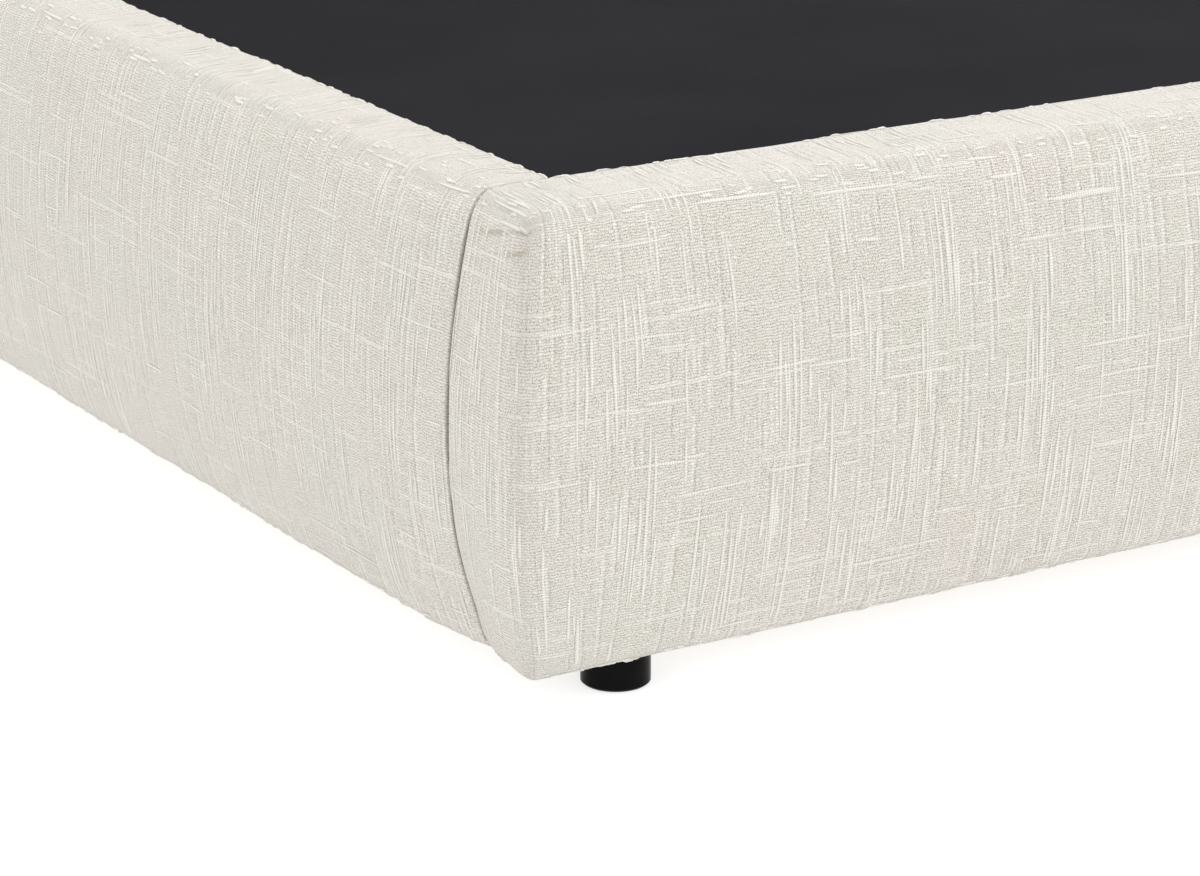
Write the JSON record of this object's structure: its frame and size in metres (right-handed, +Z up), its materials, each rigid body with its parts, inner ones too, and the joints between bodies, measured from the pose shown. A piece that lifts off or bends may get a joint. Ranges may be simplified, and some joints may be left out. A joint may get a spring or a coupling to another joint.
{
  "type": "upholstered headboard bed",
  "caption": "Low bed with thick fabric-covered padded rails, a padded headboard, a slatted felt-topped deck and adjustable centre legs.",
  "frame": {"origin": "on the floor, in the middle of the bed's outline", "axes": "+X to the right of someone who looks from the foot towards the headboard, +Y from the foot to the head, +Z up"},
  "size_m": [1.728, 2.261, 1.1],
  "materials": {
    "cover_fabric": "matte",
    "foam": "matte",
    "back_cloth": "matte",
    "deck_felt": "matte",
    "timber": "satin",
    "plywood": "satin",
    "black_steel": "satin",
    "leveller_steel": "satin",
    "zinc_steel": "satin",
    "black_plastic": "satin"
  },
  "bodies": {
    "bed": {"headboard_left_post": "timber", "headboard_right_post": "timber", "headboard_top_rail": "timber", "headboard_middle_rail": "timber", "headboard_bottom_rail": "timber", "headboard_front_panel": "plywood", "headboard_lower_board": "plywood", "headboard_spacers": "timber", "headboard_foam": "foam", "headboard_cover": "cover_fabric", "headboard_back_cloth": "back_cloth", "left_rail_inner_board": "plywood", "left_rail_outer_board": "plywood", "left_rail_battens": "timber", "left_rail_foam": "foam", "left_rail_cover": "cover_fabric", "left_ledger": "timber", "right_rail_inner_board": "plywood", "right_rail_outer_board": "plywood", "right_rail_battens": "timber", "right_rail_foam": "foam", "right_rail_cover": "cover_fabric", "right_ledger": "timber", "foot_rail_inner_board": "plywood", "foot_rail_outer_board": "plywood", "foot_rail_battens": "timber", "foot_rail_foam": "foam", "foot_rail_cover": "cover_fabric", "foot_ledger": "timber", "head_ledger": "timber", "bracket_foot_left": "black_steel", "bracket_foot_right": "black_steel", "bracket_head_left": "black_steel", "bracket_head_right": "black_steel", "bracket_bolts": "zinc_steel", "tee_nuts": "zinc_steel", "centre_beam": "timber", "beam_hanger_foot": "black_steel", "beam_hanger_head": "black_steel", "beam_hanger_bolts": "zinc_steel", "centre_leg_foot": "timber", "centre_leg_middle": "timber", "centre_leg_head": "timber", "leg_inserts": "zinc_steel", "leg_dowel_bolts": "zinc_steel", "foot_front_left": "black_plastic", "foot_front_right": "black_plastic", "foot_back_left": "black_plastic", "foot_back_right": "black_plastic", "foot_screws": "zinc_steel", "slats_foot_half": "timber", "slats_head_half": "timber", "slat_screws": "zinc_steel", "deck_panel_foot": "plywood", "deck_panel_head": "plywood", "deck_felt_foot": "deck_felt", "deck_felt_head": "deck_felt"},
    "foot_leveller": {"leveller_foot": "leveller_steel"},
    "middle_leveller": {"leveller_middle": "leveller_steel"},
    "head_leveller": {"leveller_head": "leveller_steel"}
  },
  "joints": [
    {"name": "foot_leveller_slide", "type": "slide", "parent": "bed", "child": "foot_leveller", "axis": [0, 0, 1], "range_m": [-0.012, 0.006]},
    {"name": "middle_leveller_slide", "type": "slide", "parent": "bed", "child": "middle_leveller", "axis": [0, 0, 1], "range_m": [-0.012, 0.006]},
    {"name": "head_leveller_slide", "type": "slide", "parent": "bed", "child": "head_leveller", "axis": [0, 0, 1], "range_m": [-0.012, 0.006]}
  ]
}
